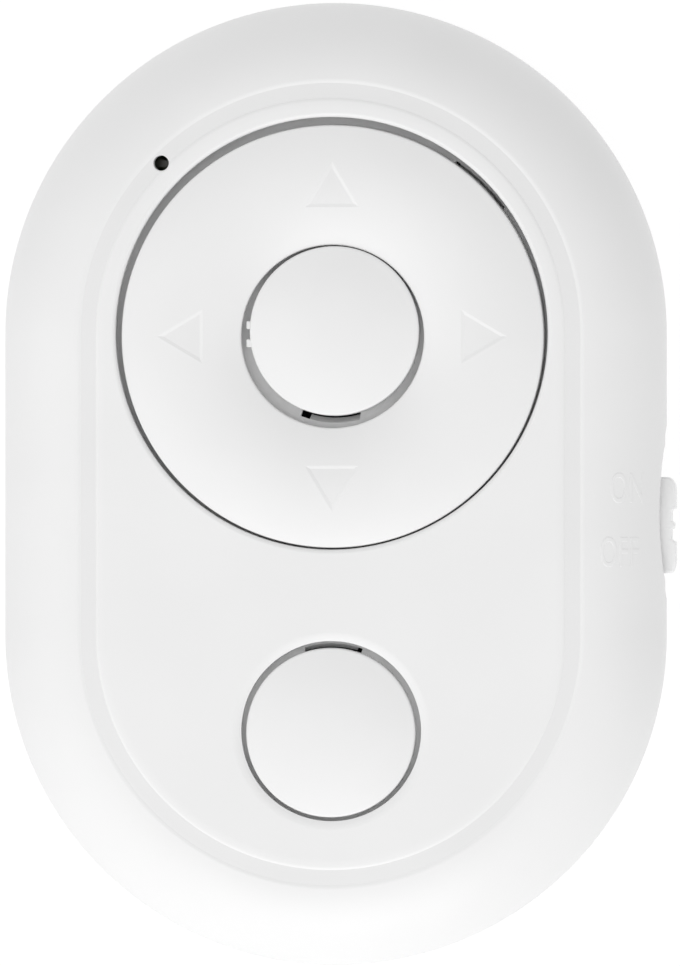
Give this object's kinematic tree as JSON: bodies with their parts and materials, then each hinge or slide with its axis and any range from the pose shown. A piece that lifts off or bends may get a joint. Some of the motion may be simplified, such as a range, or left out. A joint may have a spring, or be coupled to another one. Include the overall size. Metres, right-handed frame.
{
  "type": "remote control",
  "caption": "Oval white handheld remote control with a rocking direction ring, domed round keys, an edge power slider and a coin-turned battery lid.",
  "frame": {"origin": "middle of the flat back face", "axes": "+Z out of the face with the keys, +Y towards the end with the direction ring, +X towards the edge with the power slider"},
  "size_m": [0.0419, 0.06, 0.0125],
  "materials": {
    "housing_plastic": "fine satin white moulded plastic",
    "key_plastic": "smooth satin white moulded plastic",
    "slider_plastic": "white moulded plastic",
    "screw_steel": "zinc plated",
    "keypad_silicone": "dark grey moulded silicone",
    "cushion_foam": "black closed-cell foam",
    "board_laminate": "green solder mask",
    "pad_gold": "gold flash",
    "led_resin": "clear resin",
    "chip_epoxy": "black moulding compound",
    "can_steel": "tinned stamped steel",
    "passive_ceramic": "fired ceramic",
    "cell_steel": "bright stamped steel",
    "gasket_nylon": "moulded nylon",
    "spring_steel": "nickel plated spring strip",
    "seal_rubber": "black moulded rubber"
  },
  "bodies": {
    "housing": {"upper_housing": "housing_plastic", "lower_housing": "housing_plastic", "housing_screws": "screw_steel", "silicone_keypad": "keypad_silicone", "circuit_board": "board_laminate", "contact_pads": "pad_gold", "status_led": "led_resin", "radio_chip": "chip_epoxy", "crystal": "can_steel", "passive_components": "passive_ceramic", "chip_antenna": "passive_ceramic", "power_switch_body": "can_steel", "power_switch_terminals": "pad_gold", "coin_cell_can": "cell_steel", "coin_cell_gasket": "gasket_nylon", "coin_cell_cap": "cell_steel", "battery_positive_contact": "spring_steel", "battery_negative_contact": "spring_steel"},
    "dpad_cushion": {"dpad_cushion_ring": "cushion_foam"},
    "dpad": {"dpad_ring": "key_plastic"},
    "center_key": {"center_button": "key_plastic"},
    "shutter_key": {"shutter_button": "key_plastic"},
    "slider": {"power_slider": "slider_plastic", "power_switch_stem": "chip_epoxy"},
    "lid": {"battery_lid": "housing_plastic", "battery_lid_seal": "seal_rubber"}
  },
  "joints": [
    {"name": "dpad_rock_up_down", "type": "hinge", "parent": "housing", "child": "dpad_cushion", "pos_m": [0.00006, 0.00923, 0.0094], "axis": [1, 0, 0], "range_deg": [-1.5, 1.5], "stiffness_Nm_per_rad": 0.43, "deforming": ["dpad_cushion_ring", "silicone_keypad"]},
    {"name": "dpad_rock_left_right", "type": "hinge", "parent": "dpad_cushion", "child": "dpad", "pos_m": [0.00006, 0.00923, 0.0094], "axis": [0, 1, 0], "range_deg": [-1.5, 1.5], "stiffness_Nm_per_rad": 0.43, "deforming": ["dpad_cushion_ring", "silicone_keypad"]},
    {"name": "center_press", "type": "slide", "parent": "housing", "child": "center_key", "axis": [0, 0, -1], "range_m": [0, 0.00035], "stiffness_N_per_m": 2500, "springref_m": -0.0002, "deforming": ["silicone_keypad"]},
    {"name": "shutter_press", "type": "slide", "parent": "housing", "child": "shutter_key", "axis": [0, 0, -1], "range_m": [0, 0.00035], "stiffness_N_per_m": 2500, "springref_m": -0.0002, "deforming": ["silicone_keypad"]},
    {"name": "power_slide", "type": "slide", "parent": "housing", "child": "slider", "axis": [0, 1, 0], "range_m": [0, 0.0016]},
    {"name": "battery_lid_twist", "type": "hinge", "parent": "housing", "child": "lid", "pos_m": [0, 0, 0], "axis": [0, 0, -1], "range_deg": [0, 40]}
  ]
}
